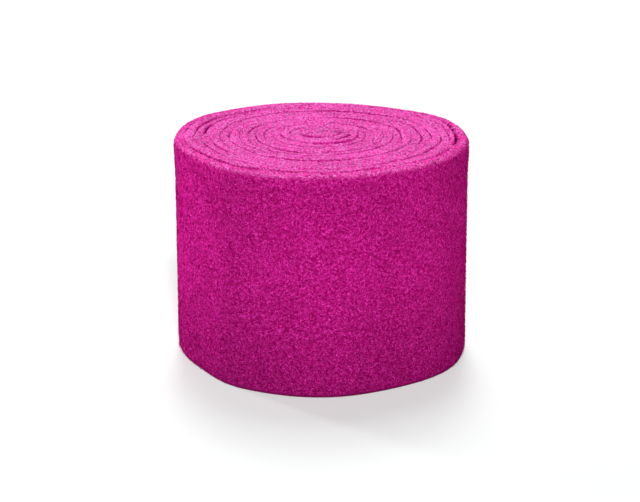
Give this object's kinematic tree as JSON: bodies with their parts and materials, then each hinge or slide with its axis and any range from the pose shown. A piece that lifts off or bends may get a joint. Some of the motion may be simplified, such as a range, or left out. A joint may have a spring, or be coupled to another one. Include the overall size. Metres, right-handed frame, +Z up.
{
  "type": "roll of felt",
  "caption": "Roll of thick soft wool felt: a long band wound tightly on itself without a core, standing upright on its cut edge.",
  "frame": {"origin": "the middle of the foot, at the centre of the bounding box's lower face", "axes": "+Z up along the winding, -Y towards the side shown in the picture, +X to its right"},
  "size_m": [0.2026, 0.2078, 0.1522],
  "materials": {
    "felt": "matt, fuzzy needled wool"
  },
  "bodies": {
    "root": {"felt_roll": "felt"}
  },
  "joints": []
}
